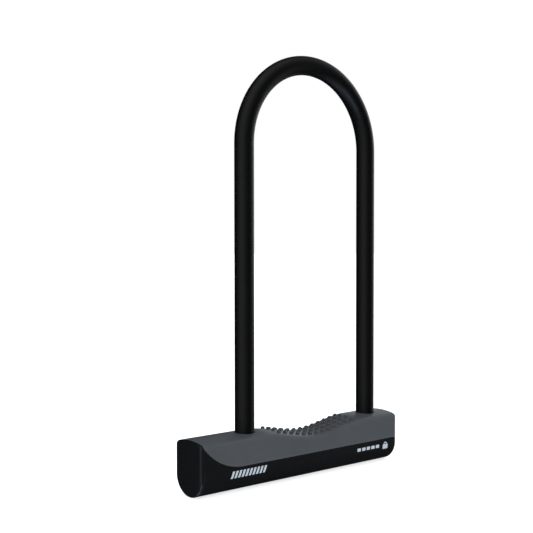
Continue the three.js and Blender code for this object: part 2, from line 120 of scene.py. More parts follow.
def top_height(x):
    reach = min(abs(x - DIP_CENTRE) / DIP_HALF_LENGTH, 1)
    return BAR_TOP - DIP_DEPTH * math.cos(reach * math.pi / 2) ** 2


def surface_height(x, y):
    return top_height(x) - CROWN * (y / EDGE_Y) ** 2


def underside_height(x, y):
    return BOTTOM_RISE * (1 - math.sqrt(1 - (y / HALF_DEPTH) ** 2))


def corner_centre_z(x):
    """Height of the centre of the rounded top corner, which runs into the crown without a kink."""
    reach = CORNER_RADIUS * math.sin(CROWN_TILT)
    return surface_height(x, EDGE_Y + reach) - CORNER_RADIUS * math.cos(CROWN_TILT)


def corner_setback(x, z, radius):
    """How far the rounded top corner lies inside the bar's flat side at a height."""
    rise = min(max(0, z - corner_centre_z(x)), radius)
    return radius - math.sqrt(radius**2 - rise**2)


def split_curve():
    """Points of the parting line between the cover and the lower housing, from the keyed end."""
    start = Vector((SHELL_LEFT, SPLIT_START))
    pull_down = Vector(SPLIT_PULL_DOWN)
    pull_along = Vector((SPLIT_PULL_X, SPLIT_Z))
    end = Vector((SPLIT_LEVEL_X, SPLIT_Z))
    points = []
    for t in spread(0, 1, 60):
        s = 1 - t
        points.append(s**3 * start + 3 * s * s * t * pull_down + 3 * s * t * t * pull_along + t**3 * end)
    return points


SPLIT_POINTS = split_curve()


def split_height(x):
    if x >= SPLIT_POINTS[-1].x:
        return SPLIT_Z
    for a, b in zip(SPLIT_POINTS, SPLIT_POINTS[1:]):
        if x <= b.x:
            return a.y + (b.y - a.y) * (x - a.x) / (b.x - a.x)
    return SPLIT_Z


# ---- mesh helpers ----

SHARP_ANGLE = math.radians(32)
BEVEL_ANGLE = math.radians(40)
MERGE_DISTANCE = 0.002 * MM


def finish_mesh(name, bm, material, body, stands_for=()):
    """Turns a bmesh into a smooth-shaded object that rides on a body."""
    bmesh.ops.remove_doubles(bm, verts=bm.verts, dist=MERGE_DISTANCE)
    bmesh.ops.recalc_face_normals(bm, faces=bm.faces)
    mesh = bpy.data.meshes.new(name)
    bm.to_mesh(mesh)
    bm.free()
    mesh.materials.append(material)
    mesh.shade_smooth()
    mesh.set_sharp_from_angle(angle=SHARP_ANGLE)
    piece = bpy.data.objects.new(name, mesh)
    scene.collection.objects.link(piece)
    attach(piece, body)
    if stands_for:
        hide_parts(*stands_for)
    return piece


def add_strip(bm, rings, closed):
    """Faces between rings of equal length. Returns the vertices of each ring."""
    grid = [[bm.verts.new(point) for point in ring] for ring in rings]
    for ring, following in zip(grid, grid[1:]):
        count = len(ring)
        for j in range(count if closed else count - 1):
            k = (j + 1) % count
            bm.faces.new((ring[j], ring[k], following[k], following[j]))
    return grid


def circle(centre, radius, axis, sides):
    """A ring of points about an axis, "x" or "z"."""
    points = []
    for i in range(sides):
        angle = 2 * math.pi * i / sides
        a, b = radius * math.cos(angle), radius * math.sin(angle)
        offset = {"x": (0, a, b), "z": (a, b, 0)}[axis]
        points.append(Vector(centre) + Vector(offset))
    return points


def turned(bm, profile, origin, sides=64):
    """A closed solid of revolution about the x direction, from (distance along it, radius) pairs."""
    start = Vector(origin)
    rings = [circle(start + Vector((along, 0, 0)), radius, "x", sides) for along, radius in profile]
    grid = add_strip(bm, rings, closed=True)
    bm.faces.new(list(reversed(grid[0])))
    bm.faces.new(grid[-1])


def cutter(build):
    """A hidden solid used once to cut another."""
    bm = bmesh.new()
    build(bm)
    bmesh.ops.recalc_face_normals(bm, faces=bm.faces)
    mesh = bpy.data.meshes.new("cutter")
    bm.to_mesh(mesh)
    bm.free()
    tool = bpy.data.objects.new("cutter", mesh)
    scene.collection.objects.link(tool)
    return tool


def cut(piece, builders, bevel=0.0):
    """Cuts solids out of a closed piece and softens its sharp edges."""
    tools = [cutter(build) for build in builders]
    for tool in tools:
        step = piece.modifiers.new("cut", "BOOLEAN")
        step.operation = "DIFFERENCE"
        step.solver = "EXACT"
        step.object = tool
    if bevel:
        soften = piece.modifiers.new("soften", "BEVEL")
        soften.width = bevel
        soften.segments = 2
        soften.limit_method = "ANGLE"
        soften.angle_limit = BEVEL_ANGLE
    graph = bpy.context.evaluated_depsgraph_get()
    result = bpy.data.meshes.new_from_object(piece.evaluated_get(graph))
    piece.modifiers.clear()
    piece.data = result
    result.shade_smooth()
    result.set_sharp_from_angle(angle=SHARP_ANGLE)
    for tool in tools:
        bpy.data.objects.remove(tool)


def block(bm, low, high):
    """A closed box between two opposite corners."""
    outline = ((low[0], low[1]), (high[0], low[1]), (high[0], high[1]), (low[0], high[1]))
    verts = [bm.verts.new((x, y, z)) for z in (low[2], high[2]) for x, y in outline]
    for face in ((3, 2, 1, 0), (4, 5, 6, 7), (0, 1, 5, 4), (1, 2, 6, 5), (2, 3, 7, 6), (3, 0, 4, 7)):
        bm.faces.new([verts[i] for i in face])


# ---- materials ----

NOISE_SPAN = (0.3, 0.7)  # where most of a noise texture's values lie
EDGE_SPAN = (0.51, 0.56)  # pointiness from flat faces to convex edges


class Shader:
    """A Principled material with small helpers for its node network."""

    def __init__(self, name, slot, color, roughness, metallic=0.0):
        self.material = bpy.data.materials.new(name)
        self.material["slot"] = slot
        self.material.use_nodes = True
        self.nodes = self.material.node_tree.nodes
        self.links = self.material.node_tree.links
        self.surface = self.nodes["Principled BSDF"]
        self.surface.inputs["Base Color"].default_value = (*color, 1)
        self.surface.inputs["Roughness"].default_value = roughness
        self.surface.inputs["Metallic"].default_value = metallic
        self.coords = self.nodes.new("ShaderNodeTexCoord").outputs["Object"]

    def noise(self, scale, detail=2.0, stretch=(1, 1, 1)):
        mapping = self.nodes.new("ShaderNodeMapping")
        mapping.inputs["Scale"].default_value = stretch
        self.links.new(self.coords, mapping.inputs["Vector"])
        texture = self.nodes.new("ShaderNodeTexNoise")
        texture.inputs["Scale"].default_value = scale
        texture.inputs["Detail"].default_value = detail
        self.links.new(mapping.outputs["Vector"], texture.inputs["Vector"])
        return texture.outputs["Fac"]

    def spots(self, scale):
        """Round cells, for a spark-eroded mould texture."""
        texture = self.nodes.new("ShaderNodeTexVoronoi")
        texture.inputs["Scale"].default_value = scale
        self.links.new(self.coords, texture.inputs["Vector"])
        return texture.outputs["Distance"]

    def ranged(self, value, source, target):
        node = self.nodes.new("ShaderNodeMapRange")
        for name, number in zip(("From Min", "From Max", "To Min", "To Max"), (*source, *target)):
            node.inputs[name].default_value = number
        self.links.new(value, node.inputs["Value"])
        return node.outputs["Result"]

    def blend(self, factor, first, second):
        node = self.nodes.new("ShaderNodeMix")
        node.data_type = "RGBA"
        self.links.new(factor, node.inputs["Factor"])
        for name, color in (("A", first), ("B", second)):
            socket = next(s for s in node.inputs if s.name == name and s.type == "RGBA")
            if isinstance(color, tuple):
                socket.default_value = (*color, 1)
            else:
                self.links.new(color, socket)
        return next(s for s in node.outputs if s.type == "RGBA")

    def edges(self):
        """1 on convex edges and 0 on flat faces."""
        pointiness = self.nodes.new("ShaderNodeNewGeometry").outputs["Pointiness"]
        return self.ranged(pointiness, EDGE_SPAN, (0, 1))

    def color(self, source):
        self.links.new(source, self.surface.inputs["Base Color"])

    def roughness(self, source):
        self.links.new(source, self.surface.inputs["Roughness"])

    def bump(self, *layers):
        """Stacks bump layers given as (height source, depth in metres)."""
        normal = None
        for height, depth in layers:
            node = self.nodes.new("ShaderNodeBump")
            node.inputs["Strength"].default_value = 1
            node.inputs["Distance"].default_value = depth
            self.links.new(height, node.inputs["Height"])
            if normal:
                self.links.new(normal, node.inputs["Normal"])
            normal = node.outputs["Normal"]
        self.links.new(normal, self.surface.inputs["Normal"])

    def set(self, socket, value):
        self.surface.inputs[socket].default_value = value


def tinted(color, factor):
    return tuple(channel * factor for channel in color)


def moulded(name, slot, color, roughness, grain, grain_depth, edge_wear_and_sheen):
    """Moulded plastic: a fine spark-eroded grain, slight clouding, and convex edges painted paler,
    partly as rubbed wear and partly as a painted highlight.
    """
    shader = Shader(name, slot, color, roughness)
    clouds = shader.ranged(shader.noise(45, 4), NOISE_SPAN, (0, 1))
    body = shader.blend(clouds, tinted(color, 0.95), tinted(color, 1.05))
    # Convex edges are painted paler: partly rubbed wear, partly a painted highlight along them.
    rubbed_and_highlit = tinted(color, edge_wear_and_sheen)
    shader.color(shader.blend(shader.edges(), body, rubbed_and_highlit))
    fine = shader.noise(1 / grain, 3)
    shader.roughness(shader.ranged(fine, NOISE_SPAN, (roughness - 0.05, roughness + 0.05)))
    shader.bump((shader.spots(0.6 / grain), grain_depth), (fine, grain_depth * 0.7))
    return shader.material


def vinyl():
    """The shackle's dipped vinyl: satin, with a faint orange peel and slow waves along the bar."""
    color = (0.0022, 0.0022, 0.0023)
    shader = Shader("shackle_vinyl", "black_vinyl", color, 0.42)
    clouds = shader.ranged(shader.noise(30, 3), NOISE_SPAN, (0, 1))
    shader.color(shader.blend(clouds, tinted(color, 0.85), tinted(color, 1.2)))
    peel = shader.noise(900, 2)
    shader.roughness(shader.ranged(shader.noise(260, 3), NOISE_SPAN, (0.39, 0.46)))
    shader.bump((peel, 0.012 * MM), (shader.noise(60, 1), 0.03 * MM))
    return shader.material


def steel(name, slot, color, roughness, stretch):
    """Drawn or ground steel: fine lines along one direction and a mottled tone."""
    shader = Shader(name, slot, color, roughness, metallic=1)
    lines = shader.noise(900, 4, stretch)
    mottle = shader.ranged(shader.noise(120, 4), NOISE_SPAN, (0, 1))
    shader.color(shader.blend(mottle, tinted(color, 0.85), tinted(color, 1.1)))
    shader.roughness(shader.ranged(lines, NOISE_SPAN, (roughness - 0.08, roughness + 0.1)))
    shader.bump((lines, 0.006 * MM))
    return shader.material


def machined_brass():
    """Turned brass with tool marks around its axis and a slightly dull tone in places."""
    color = (0.55, 0.38, 0.14)
    shader = Shader("machined_brass", "brass", color, 0.3, metallic=1)
    marks = shader.noise(1400, 2, (1, 0.08, 0.08))
    dull = shader.ranged(shader.noise(200, 4), (0.35, 0.65), (0, 1))
    shader.color(shader.blend(dull, color, (0.36, 0.25, 0.11)))
    shader.roughness(shader.ranged(marks, NOISE_SPAN, (0.22, 0.4)))
    shader.bump((marks, 0.008 * MM))
    return shader.material


# The bumps' colour is darker than the cover's: painted shade for the occlusion between them. They are
# also a little rougher than the cover, and the end cover is a little smoother than the housing.
HOUSING_COLOR = (0.0073, 0.0078, 0.0088)
# Its paler convex edges are partly rubbed wear and partly a painted highlight.
GREY = moulded(
    "soft_grey_cover", "grey_soft_plastic", (0.077, 0.087, 0.096),
    roughness=0.42, grain=0.28 * MM, grain_depth=0.012 * MM, edge_wear_and_sheen=1.35,
)
# Its darker colour is painted shade between the bumps, not a different plastic.
SHADED_GRIP = moulded(
    "grip_bump_painted_shade_grey", "grey_soft_plastic", (0.059, 0.067, 0.074),
    roughness=0.5, grain=0.28 * MM, grain_depth=0.012 * MM, edge_wear_and_sheen=1.1,
)
BLACK = moulded(
    "satin_black_housing", "black_plastic", HOUSING_COLOR,
    roughness=0.30, grain=0.35 * MM, grain_depth=0.007 * MM, edge_wear_and_sheen=1.6,
)
CAP_BLACK = moulded(
    "satin_black_cover", "black_plastic", HOUSING_COLOR,
    roughness=0.24, grain=0.35 * MM, grain_depth=0.005 * MM, edge_wear_and_sheen=1.6,
)
RUBBER = moulded(
    "seal_rubber", "black_rubber", (0.012, 0.012, 0.012),
    roughness=0.75, grain=0.2 * MM, grain_depth=0.02 * MM, edge_wear_and_sheen=1.3,
)
NYLON = moulded(
    "natural_nylon", "white_nylon", (0.66, 0.63, 0.55),
    roughness=0.5, grain=0.3 * MM, grain_depth=0.01 * MM, edge_wear_and_sheen=1.1,
)
VINYL = vinyl()
HARD_STEEL = steel("hardened_steel", "hardened_steel", (0.30, 0.31, 0.33), 0.34, (1, 1, 0.05))
ZINC = steel("zinc_plated_steel", "zinc_plated_steel", (0.52, 0.55, 0.60), 0.3, (0.05, 1, 1))
BRASS = machined_brass()
PRINT = moulded(
    "pale_print", "pale_print", (0.52, 0.60, 0.67),
    roughness=0.45, grain=0.2 * MM, grain_depth=0.003 * MM, edge_wear_and_sheen=1.0,
)

CARRIED = (GREY, BLACK, RUBBER, NYLON, VINYL, HARD_STEEL, ZINC, BRASS)
CARRIED_MATERIALS = {material["slot"]: material for material in CARRIED}


def dress_cad_nodes():
    """Gives every CAD node the procedural material of its slot."""
    for entry in frame["record"]["subparts"]:
        materials = frame["nodes"][entry["node"]].data.materials
        materials.clear()
        materials.append(CARRIED_MATERIALS[entry["material_slot"]])


# ---- crossbar shells ----

LIP_STEPS, SIDE_STEPS = 4, 6


def upper_half(x, inset, cut_z):
    """(y, z) from the cover's parting edge, up the side, round the corner and over to the middle."""
    side = HALF_DEPTH - inset
    radius = CORNER_RADIUS - inset
    centre_z = corner_centre_z(x)
    start_z = cut_z + LIP
    points = [(side - RIM, cut_z)]
    points += [(side - LIP * (1 - math.sin(a)), start_z - LIP * math.cos(a)) for a in quarter(LIP_STEPS)]
    points += [(side, z) for z in spread(start_z, max(start_z, centre_z), 10)[1:-1]]
    points = [(y - corner_setback(x, z, radius), z) for y, z in points]
    first = math.asin(max(0, min(1, (start_z - centre_z) / radius)))
    for a in spread(first, math.pi / 2 - CROWN_TILT, 9):
        points.append((EDGE_Y + radius * math.cos(a), centre_z + radius * math.sin(a)))
    for y in spread(points[-1][0], 0, 11)[1:]:
        points.append((y, surface_height(x, y) - inset))
    return points


def lower_half(x, inset, cut_z):
    """(y, z) from the lower housing's parting edge, down the side and round to the middle."""
    inset += INK
    side = HALF_DEPTH - inset
    start_z = cut_z - LIP
    points = [(side - RIM, cut_z)]
    points += [(side - LIP * (1 - math.sin(a)), start_z + LIP * math.cos(a)) for a in quarter(LIP_STEPS)]
    points += [(side, z) for z in spread(start_z, BOTTOM_RISE, SIDE_STEPS)[1:-1]]
    for a in quarter(20):
        points.append((side * math.cos(a), BOTTOM_RISE - (BOTTOM_RISE - inset) * math.sin(a)))
    return [(y - corner_setback(x, z, CORNER_RADIUS - inset), z) for y, z in points]


def whole_ring(x, inset):
    """The bar's whole outline, as a closed ring of points. It leaves out both parting edges."""
    upper = upper_half(x, inset, BOTTOM_RISE)[LIP_STEPS + 1:]
    lower = lower_half(x, inset, BOTTOM_RISE + 2 * LIP)[LIP_STEPS + SIDE_STEPS:]
    half = list(reversed(lower)) + upper
    mirrored = [(-y, z) for y, z in reversed(half[1:-1])]
    return [Vector((x, y, z)) for y, z in half + mirrored]


def both_sides(half, x):
    """An open ring from a half outline and its mirror image."""
    mirrored = [(-y, z) for y, z in reversed(half[:-1])]
    return [Vector((x, y, z)) for y, z in half + mirrored]


def shell_stations():
    """(x, inset) along a shell: a turned-in rim at the keyed end and a rounded closed end."""
    stations = [(SHELL_LEFT, RIM)]
    edge = 0.25 * MM
    stations += [(SHELL_LEFT + edge * (1 - math.cos(a)), edge * (1 - math.sin(a))) for a in quarter(3)]
    start, end = SHELL_LEFT + edge, BAR_RIGHT - END_FILLET
    steps = round((end - start) / STATION_STEP)
    stations += [(x, 0) for x in spread(start, end, steps)[1:]]
    for a in quarter(8)[1:]:
        stations.append((end + END_FILLET * math.sin(a), END_FILLET * (1 - math.cos(a))))
    return stations


def round_mouth(bm, centre, profile, surface, facing):
    """Opens a round hole in a dense skin. profile lists (radius, depth below the skin) inwards."""
    sides, near_skin = 72, 0.3 * MM
    reach = profile[0][0] + 0.7 * STATION_STEP
    bm.normal_update()
    doomed = []
    for face in bm.faces:
        middle = face.calc_center_median()
        height = surface(middle.x, middle.y)
        if abs(middle.z - height) < near_skin and (middle.xy - centre).length < reach:
            doomed.append(face)
    bmesh.ops.delete(bm, geom=doomed, context="FACES")
    near = [e for e in bm.edges if e.is_boundary and (e.verts[0].co.xy - centre).length < reach + 3 * MM]
    near = [e for e in near if abs(e.verts[0].co.z - surface(*e.verts[0].co.xy)) < near_skin]
    rings = []
    for radius, depth in profile:
        ring = circle((centre.x, centre.y, 0), radius, "z", sides)
        for point in ring:
            point.z = surface(point.x, point.y) - facing * depth
        rings.append(ring)
    grid = add_strip(bm, rings, closed=True)
    rim = [bm.edges.get((a, b)) for a, b in zip(grid[0], grid[0][1:] + grid[0][:1])]
    bmesh.ops.bridge_loops(bm, edges=near + rim)


def leg_mouth(bm, x):
    """The rounded opening in the cover for a leg."""
    radius, lip, depth = SLEEVE_RADIUS + 0.12 * MM, 0.35 * MM, 2.3 * MM
    profile = [(radius + lip * (1 - math.sin(a)), lip * (1 - math.cos(a))) for a in quarter(5)]
    profile.append((radius, depth))
    round_mouth(bm, Vector((x, 0)), profile, surface_height, 1)


BUMP_COLUMNS, BUMP_ROWS = 13, 4
BUMP_PITCH = 6.05 * MM
BUMP_RADIUS, BUMP_HEIGHT = 1.5 * MM, 1.75 * MM
BUMP_FULLNESS = 0.65  # under 1 makes the dome fuller than half an ellipsoid
BUMP_SINK = 0.02 * MM


def grip_bump(bm, x, y):
    """A small round dome that grows out of the cover."""
    rings = []
    for angle in spread(0.03, math.pi / 2, 8):
        radius = BUMP_RADIUS * math.sin(angle)
        height = BUMP_HEIGHT * math.cos(angle) ** BUMP_FULLNESS - BUMP_SINK
        ring = circle((x, y, 0), radius, "z", 20)
        for point in ring:
            point.z = surface_height(point.x, point.y) + height
        rings.append(ring)
    grid = add_strip(bm, rings, closed=True)
    bm.faces.new(grid[0])


def top_cover():
    """The grey cover's skin, with an opening for each leg."""
    bm = bmesh.new()
    rings = []
    for x, inset in shell_stations():
        rings.append(both_sides(upper_half(x, inset, split_height(x) + SEAM_HALF), x))
    grid = add_strip(bm, rings, closed=False)
    bm.faces.new(grid[-1])
    for x in LEGS:
        leg_mouth(bm, x)
    return finish_mesh("cover_skin", bm, GREY, "crossbar", ["top_cover"])


def grip_bumps():
    """The bumps in the cover's hollow, as a piece of their own, which carries their darker colour of
    painted shade.
    """
    bm = bmesh.new()
    for i in range(BUMP_COLUMNS):
        for j in range(BUMP_ROWS):
            x = MIDDLE_X + (i - (BUMP_COLUMNS - 1) / 2) * BUMP_PITCH
            grip_bump(bm, x, (j - (BUMP_ROWS - 1) / 2) * BUMP_PITCH)
    return finish_mesh("grip_bumps", bm, SHADED_GRIP, "crossbar")


def lower_housing():
    """The black lower half's skin, with a recess for each screw underneath."""
    bm = bmesh.new()
    rings = []
    for x, inset in shell_stations():
        rings.append(both_sides(lower_half(x, inset, split_height(x) - SEAM_HALF), x))
    grid = add_strip(bm, rings, closed=False)
    bm.faces.new(grid[-1])
    recess, hole = 3.2 * MM, 1.8 * MM
    profile = [(recess + 0.3 * MM, 0), (recess + 0.15 * MM, 0.05 * MM), (recess, 0.2 * MM)]
    profile += [(hole, 1.6 * MM), (hole, 2.2 * MM)]
    for number in (1, 2):
        low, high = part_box(f"housing_screw_{number}")
        centre = Vector(((low.x + high.x) / 2, (low.y + high.y) / 2))
        round_mouth(bm, centre, profile, underside_height, -1)
    return finish_mesh("housing_skin", bm, BLACK, "crossbar", ["lower_housing"])


def end_cover():
    """The swinging end cover: a tight seam edge, then the large fillet into its flat face."""
    bm = bmesh.new()
    edge, fillet = 0.2 * MM, END_FILLET - 0.2 * MM
    seam = CAP_SEAM + 0.2 * MM  # closes the running gap to a fine line
    stations = [(seam, RIM)]
    stations += [(seam - edge * (1 - math.cos(a)), edge * (1 - math.sin(a))) for a in quarter(3)]
    start = BAR_LEFT + fillet
    stations += [(start - fillet * math.sin(a), fillet * (1 - math.cos(a))) for a in quarter(12)]
    grid = add_strip(bm, [whole_ring(x, inset) for x, inset in stations], closed=True)
    bm.faces.new(list(reversed(grid[0])))
    bm.faces.new(grid[-1])
    return finish_mesh("end_cover_skin", bm, CAP_BLACK, "end_cover", ["end_cover"])


# ---- shackle ----


def shackle_path(end_z, arch_steps=96, leg_steps=24):
    """(point, tangent) pairs up the left leg, over the arch and down the right leg."""
    up, down = Vector((0, 0, 1)), Vector((0, 0, -1))
    path = [(Vector((LEGS[0], 0, z)), up) for z in spread(end_z, SPRING_Z, leg_steps)[:-1]]
    for angle in spread(math.pi, 0, arch_steps):
        out = Vector((math.cos(angle), 0, math.sin(angle)))
        centre = Vector((MIDDLE_X, 0, SPRING_Z))
        path.append((centre + out * ARCH_RADIUS, Vector((out.z, 0, -out.x))))
    path += [(Vector((LEGS[1], 0, z)), down) for z in spread(SPRING_Z, end_z, leg_steps)[1:]]
    return path


def round_bar(bm, end_z, radius, end_profile, sides=64, capped=True):
    """A round bar along the shackle. end_profile lists (distance from the end, radius)."""
    up, down, across = Vector((0, 0, 1)), Vector((0, 0, -1)), Vector((0, 1, 0))
    path = [(point, tangent, radius) for point, tangent in shackle_path(end_z + end_profile[-1][0])]
    foot = [(Vector((LEGS[0], 0, end_z + d)), up, r) for d, r in end_profile[:-1]]
    toe = [(Vector((LEGS[1], 0, end_z + d)), down, r) for d, r in reversed(end_profile[:-1])]
    rings = []
    for point, tangent, ring_radius in foot + path + toe:
        normal = across.cross(tangent)
        ring = []
        for i in range(sides):
            angle = 2 * math.pi * i / sides
            ring.append(point + ring_radius * (math.cos(angle) * normal + math.sin(angle) * across))
        rings.append(ring)
    grid = add_strip(bm, rings, closed=True)
    if capped:
        bm.faces.new(list(reversed(grid[0])))
        bm.faces.new(grid[-1])


def shackle_sleeve():
    """The vinyl sleeve's skin, open at both ends around the rod."""
    bm = bmesh.new()
    end_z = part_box("shackle_coating")[0].z
    lip = 0.4 * MM
    profile = [(0.6 * MM, ROD_RADIUS + 0.05 * MM), (0, ROD_RADIUS + 0.1 * MM)]
    profile += [(lip * (1 - math.cos(a)), SLEEVE_RADIUS - lip * (1 - math.sin(a))) for a in quarter(4)]
    round_bar(bm, end_z, SLEEVE_RADIUS, profile, capped=False)
    return finish_mesh("shackle_sleeve", bm, VINYL, "shackle", ["shackle_coating"])


def shackle_rod():
    """The steel bar, with chamfered feet and the flats that the locking plate closes around."""
    bm = bmesh.new()
    end_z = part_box("shackle_rod")[0].z
    chamfer = 1.5 * MM
    neck, low, high, far = 3.8 * MM, 13.5 * MM, 17.5 * MM, 10 * MM
    margin = 0.5 * MM  # rings this close to the notches' ends keep the faces around their corners small
    foot_radius = ROD_RADIUS - chamfer
    profile = [(0, foot_radius), (0.15 * MM, foot_radius + 0.2 * MM), (chamfer, ROD_RADIUS)]
    for z in (low - margin, low + margin, high - margin, high + margin):
        profile.append((z - end_z, ROD_RADIUS))
    round_bar(bm, end_z, ROD_RADIUS, profile, sides=48)
    piece = finish_mesh("shackle_rod_skin", bm, HARD_STEEL, "shackle", ["shackle_rod"])

    def notch(x, y_low, y_high):
        return lambda b: block(b, (x - far, y_low, low), (x + far, y_high, high))

    beside = ((-far, -neck), (neck, far))
    cut(piece, [notch(x, *span) for x in LEGS for span in beside], bevel=0.2 * MM)
    return piece


# ---- keyed end, seen when the end cover is swung aside ----


def end_bulkhead():
    """The plate behind the end cover, with holes for the plug and the pivot pin."""
    bm = bmesh.new()
    low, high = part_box("end_bulkhead")
    inset = HALF_DEPTH - high.y
    ring_inset = min(inset, CORNER_RADIUS - 0.3 * MM)
    grid = add_strip(bm, [whole_ring(low.x, ring_inset), whole_ring(high.x, ring_inset)], closed=True)
    bm.faces.new(list(reversed(grid[0])))
    bm.faces.new(grid[-1])
    piece = finish_mesh("bulkhead_skin", bm, BLACK, "crossbar", ["end_bulkhead"])
    plug_hole, pivot_hole, chamfer, through = 6.0 * MM, 1.8 * MM, 0.6 * MM, 4 * MM
    cone = [(-2 * MM, plug_hole + 2.4 * MM), (0, plug_hole + chamfer)]
    cone += [(chamfer, plug_hole), (through, plug_hole)]
    pin_way = [(-1 * MM, pivot_hole), (through, pivot_hole)]
    cutters = [
        lambda b: turned(b, cone, (low.x, 0, KEY_AXIS_Z)),
        lambda b: turned(b, pin_way, (low.x, 0, PIVOT_Z), sides=32),
    ]
    cut(piece, cutters, bevel=0.15 * MM)
    return piece


def key_plug():
    """The brass plug: hollow for the discs, with a keyway, a slot for the sidebar and a clip groove."""
    bm = bmesh.new()
    low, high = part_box("cylinder_plug")
    length = high.x - low.x
    radius = high.z - KEY_AXIS_Z
    barrel, stub = 17.8 * MM, 2.5 * MM
    clip_start, clip_end, clip_groove = 20.2 * MM, 21.5 * MM, 1.9 * MM
    chamfer = 0.5 * MM
    profile = [(0, radius - chamfer), (chamfer, radius), (barrel, radius), (barrel, stub)]
    profile += [(clip_start, stub), (clip_start, clip_groove)]
    profile += [(clip_end, clip_groove), (clip_end, stub), (length, stub)]
    turned(bm, profile, (low.x, 0, KEY_AXIS_Z))
    piece = finish_mesh("plug_skin", bm, BRASS, "key_plug", ["cylinder_plug"])
    bore = [(1.5 * MM, 4.3 * MM), (16.3 * MM, 4.3 * MM)]  # the discs turn in here
    wide, tall, deep = 2.6 * MM, 1.1 * MM, 2 * MM
    ring_groove = [(-0.1 * MM, radius - 1.0 * MM), (0.15 * MM, radius - 1.1 * MM)]

    def keyway(b):
        block(b, (low.x - MM, -wide, KEY_AXIS_Z - tall), (low.x + deep, wide, KEY_AXIS_Z + tall))

    def ward(b):
        floor_z = KEY_AXIS_Z - tall - 0.6 * MM
        block(b, (low.x - MM, 0.9 * MM, floor_z), (low.x + deep, 1.7 * MM, KEY_AXIS_Z))

    def sidebar_slot(b):
        beside, floor_z = 1.1 * MM, KEY_AXIS_Z + 3.8 * MM
        block(b, (low.x + 2.4 * MM, -beside, floor_z), (low.x + 15.9 * MM, beside, high.z + MM))

    rounds = [lambda b, p=p: turned(b, p, (low.x, 0, KEY_AXIS_Z)) for p in (ring_groove, bore)]
    cut(piece, [keyway, ward, sidebar_slot, *rounds], bevel=0.08 * MM)
    return piece


def seal(side):
    """A rubber ring with a rounded lip that wipes the sleeve."""
    bm = bmesh.new()
    low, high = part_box(f"leg_seal_{side}")
    x = (low.x + high.x) / 2
    outer = (high.x - low.x) / 2
    inner = SLEEVE_RADIUS + 0.06 * MM
    middle, half = (inner + outer) / 2, (outer - inner) / 2
    tall = (high.z - low.z) / 2
    rings = []
    for i in range(17):
        angle = 2 * math.pi * i / 16
        across = math.copysign(abs(math.cos(angle)) ** 0.7, math.cos(angle))
        along = math.copysign(abs(math.sin(angle)) ** 0.7, math.sin(angle))
        rings.append(circle((x, 0, low.z + tall + tall * along), middle + half * across, "z", 64))
    add_strip(bm, rings, closed=True)
    return finish_mesh(f"seal_{side}_skin", bm, RUBBER, "crossbar", [f"leg_seal_{side}"])


# ---- generic printed marks ----

BAR_MARKS = {"count": 10, "first": -70 * MM, "step": 3.15 * MM, "width": 1.9 * MM, "slant": 0.4}
BAR_MARK_HEIGHTS = 11.6 * MM, 16.5 * MM
DASHES = {"count": 5, "first": 51.8 * MM, "step": 5 * MM, "width": 3.6 * MM, "slant": 0.0}
DASH_HEIGHTS = 12.6 * MM, 15.0 * MM
PADLOCK_LEFT, PADLOCK_WIDTH = 79.6 * MM, 5.4 * MM
PADLOCK_LOW, PADLOCK_HIGH = 10.8 * MM, 14.4 * MM
PADLOCK_ARCH = 1.1 * MM, 1.9 * MM


def printed_patch(bm, edges):
    """Ink on the half-round front of the housing, between two edges given as (x, z) pairs."""
    rings = []
    for edge in edges:
        ring = []
        for x, z in edge:
            below = max(0, 1 - z / BOTTOM_RISE)
            ring.append(Vector((x, -HALF_DEPTH * math.sqrt(1 - below**2), z)))
        rings.append(ring)
    add_strip(bm, rings, closed=False)


def printed_bar(bm, x, width, low, high, slant=0.0):
    """One bar of ink. slant is how far it leans along x for each metre of height."""
    heights = spread(low, high, 10)
    left = [(x + slant * (z - low), z) for z in heights]
    printed_patch(bm, [left, [(along + width, z) for along, z in left]])


def printed_row(bm, row, heights):
    for i in range(row["count"]):
        printed_bar(bm, row["first"] + i * row["step"], row["width"], *heights, slant=row["slant"])


def printed_marks():
    """A row of slanted bars near the keyed end, and short dashes with a padlock near the other."""
    bm = bmesh.new()
    printed_row(bm, BAR_MARKS, BAR_MARK_HEIGHTS)
    printed_row(bm, DASHES, DASH_HEIGHTS)
    printed_bar(bm, PADLOCK_LEFT, PADLOCK_WIDTH, PADLOCK_LOW, PADLOCK_HIGH)
    centre_x = PADLOCK_LEFT + PADLOCK_WIDTH / 2
    arch = []
    for radius in PADLOCK_ARCH:
        curve = []
        for angle in spread(0, math.pi, 14):
            curve.append((centre_x + radius * math.cos(angle), PADLOCK_HIGH + radius * math.sin(angle)))
        arch.append(curve)
    printed_patch(bm, arch)
    return finish_mesh("printed_marks", bm, PRINT, "crossbar")


# ---- studio ----


def floor():
    """A pale floor that stays near white, and takes only the lock's contact shadow."""
    bm = bmesh.new()
    bmesh.ops.create_circle(bm, cap_ends=True, segments=96, radius=8)
    mesh = bpy.data.meshes.new("floor")
    bm.to_mesh(mesh)
    bm.free()
    shader = Shader("pale_floor", "floor", (0.9, 0.9, 0.9), 0.9)
    tone = shader.ranged(shader.noise(3, 2), NOISE_SPAN, (0, 1))
    shader.color(shader.blend(tone, (0.89, 0.89, 0.89), (0.91, 0.91, 0.91)))
    shader.set("Emission Color", (1, 1, 1, 1))
    shader.set("Emission Strength", 0.7)
    mesh.materials.append(shader.material)
    piece = bpy.data.objects.new("floor", mesh)
    scene.collection.objects.link(piece)
    piece.visible_glossy = False
    piece.visible_diffuse = False


SOFTBOX_SIZE, SOFTBOX_DISTANCE, SOFTBOX_POWER = 1.2, 1.5, 0.4
SOFTBOX_DIRECTION = (-0.30, -0.25, 1.0)


